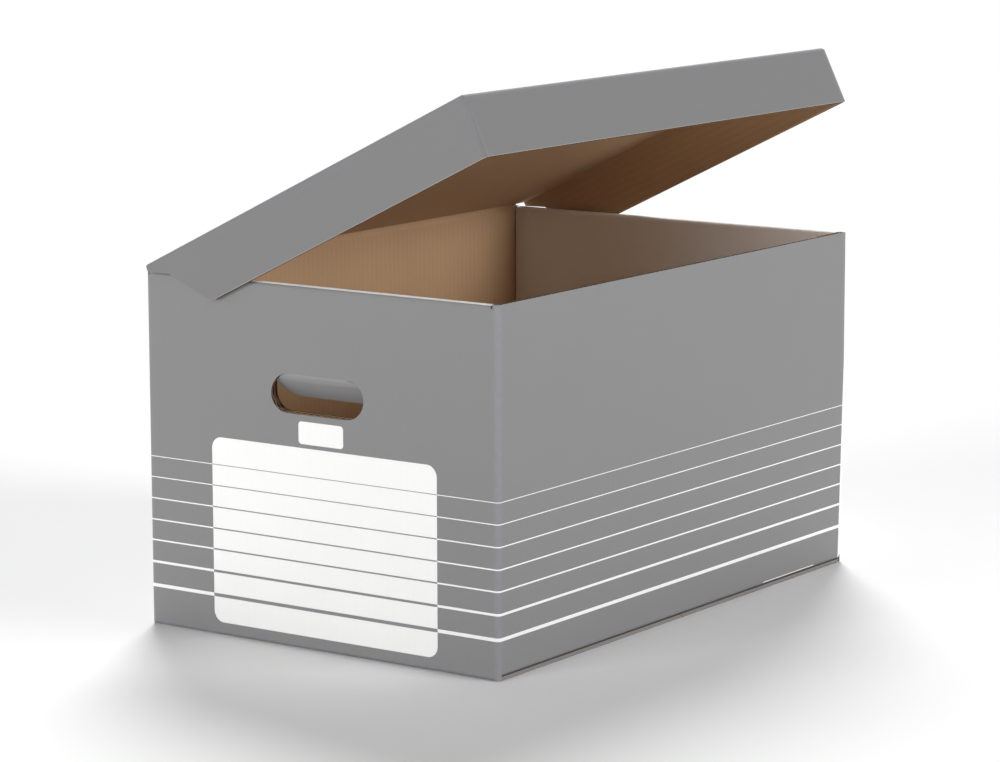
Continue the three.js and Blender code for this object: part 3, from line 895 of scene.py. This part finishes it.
# Creases
# The printed liner runs unbroken over every fold, so the lid's crease and the flaps' creases are bridged by the
# liner itself: a rounded strip, made in the pose the panels stand in.
def strip_mesh(name, path, thickness, widths, plane, printed, printed_on_left=True):
    """A closed strip of board along a path in the XZ or YZ plane. widths is its half width at each path point."""
    path = np.array(path, float)
    ahead = np.gradient(path, axis=0)
    ahead /= np.linalg.norm(ahead, axis=1)[:, None]
    left = np.stack([-ahead[:, 1], ahead[:, 0]], axis=1)
    count = len(path)
    ring = np.vstack([path + left * thickness / 2, (path - left * thickness / 2)[::-1]])
    ring_widths = np.concatenate([widths, widths[::-1]])
    columns = np.linspace(-1, 1, max(4, int(max(widths) / 10)))
    vertices = []
    for column in columns:
        for (u, v), width in zip(ring, ring_widths):
            spot = (u, column * width, v) if plane == "XZ" else (column * width, u, v)
            vertices.append(Vector(spot) * mm)
    size = len(ring)
    faces, kinds = [], []
    for index in range(len(columns) - 1):
        for k in range(size):
            a, b = index * size + k, index * size + (k + 1) % size
            faces.append((a, b, b + size, a + size))
            kinds.append(0 if (k < count - 1) == printed_on_left and k not in (count - 1, size - 1) else 1)
    faces += [tuple(reversed(range(size))), tuple((len(columns) - 1) * size + k for k in range(size))]
    kinds += [0, 0]
    mesh = bpy.data.meshes.new(name)
    mesh.from_pydata(vertices, [], faces)
    mesh.materials.append(printed)
    mesh.materials.append(kraft_liner)
    mesh.polygons.foreach_set("material_index", kinds)
    shape = bmesh.new()
    shape.from_mesh(mesh)
    bmesh.ops.recalc_face_normals(shape, faces=shape.faces)
    shape.to_mesh(mesh)
    shape.free()
    layer = mesh.uv_layers.new(name="along_flutes")
    for loop in mesh.loops:
        spot = mesh.vertices[loop.vertex_index].co
        layer.data[loop.index].uv = (spot.y, spot.z) if plane == "XZ" else (spot.x, spot.z)
    mesh.polygons.foreach_set("use_smooth", [True] * len(mesh.polygons))
    mesh.set_sharp_from_angle(angle=math.radians(40))
    return mesh_object(name, mesh)


def arc_points(centre, radius, start, end, segments=10):
    angles = [math.radians(start + (end - start) * k / segments) for k in range(segments + 1)]
    return [(centre[0] + radius * math.cos(a), centre[1] + radius * math.sin(a)) for a in angles]


opening_degrees = math.degrees(lid_opening)
bend_radius = 0.9
lid_way = (math.cos(lid_opening), math.sin(lid_opening))
turn_setback = bend_radius * math.tan(math.radians(90 - opening_degrees) / 2)
bend_centre = (hinge_x + bend_radius, hinge_z - turn_setback)
hinge_path = [(hinge_x, hinge_z - 3.0), (hinge_x, hinge_z - 1.8)]
hinge_path += arc_points(bend_centre, bend_radius, 180, 90 + opening_degrees, 12)
hinge_path += [(hinge_x + lid_way[0] * d, hinge_z + lid_way[1] * d) for d in (1.8, 3.0)]
lid_fold = strip_mesh("lid_fold", hinge_path, crease_board + 0.12, [half_y - fold_outer] * len(hinge_path),
                      "XZ", printed_lid)
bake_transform(lid_fold)

for piece_name, place, side, body_name in (
        ("label_end_flap_fold", label_flap_place, -1, "label_end_flap"),
        ("far_end_flap_fold", far_flap_place, 1, "far_end_flap")):
    skin = 0.24
    wall_face_y = side * (half_y + 0.02 - skin / 2)
    on_flap = []
    for down in (-3.4, -5.2):
        spot = place @ (Vector((0, flap_mid - board / 2 - 0.02 + skin / 2, down)) * mm)
        on_flap.append((spot.y / mm, spot.z / mm))
    top = hole_centre + hole_radius
    start_bend, pull = (wall_face_y, top - 0.1), (wall_face_y, top - 1.7)
    path = [(wall_face_y, top + 0.3), (wall_face_y, top + 0.1)]
    path += bent(start_bend, pull, on_flap[0], 10) + on_flap[1:]
    heights = [top + 0.3, top + 0.1] + [top - 0.1 - 4.6 * k / 10 for k in range(11)]
    heights.append(flap_hinge_z - 5.2)
    widths = [hole_straight - 0.1 + math.sqrt(max(0.0, flap_radius ** 2 - (min(h, top) - hole_centre) ** 2))
              for h in heights]
    fold = strip_mesh(piece_name, path, skin, widths, "YZ", printed_flap_painted_light, printed_on_left=side > 0)
    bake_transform(fold)
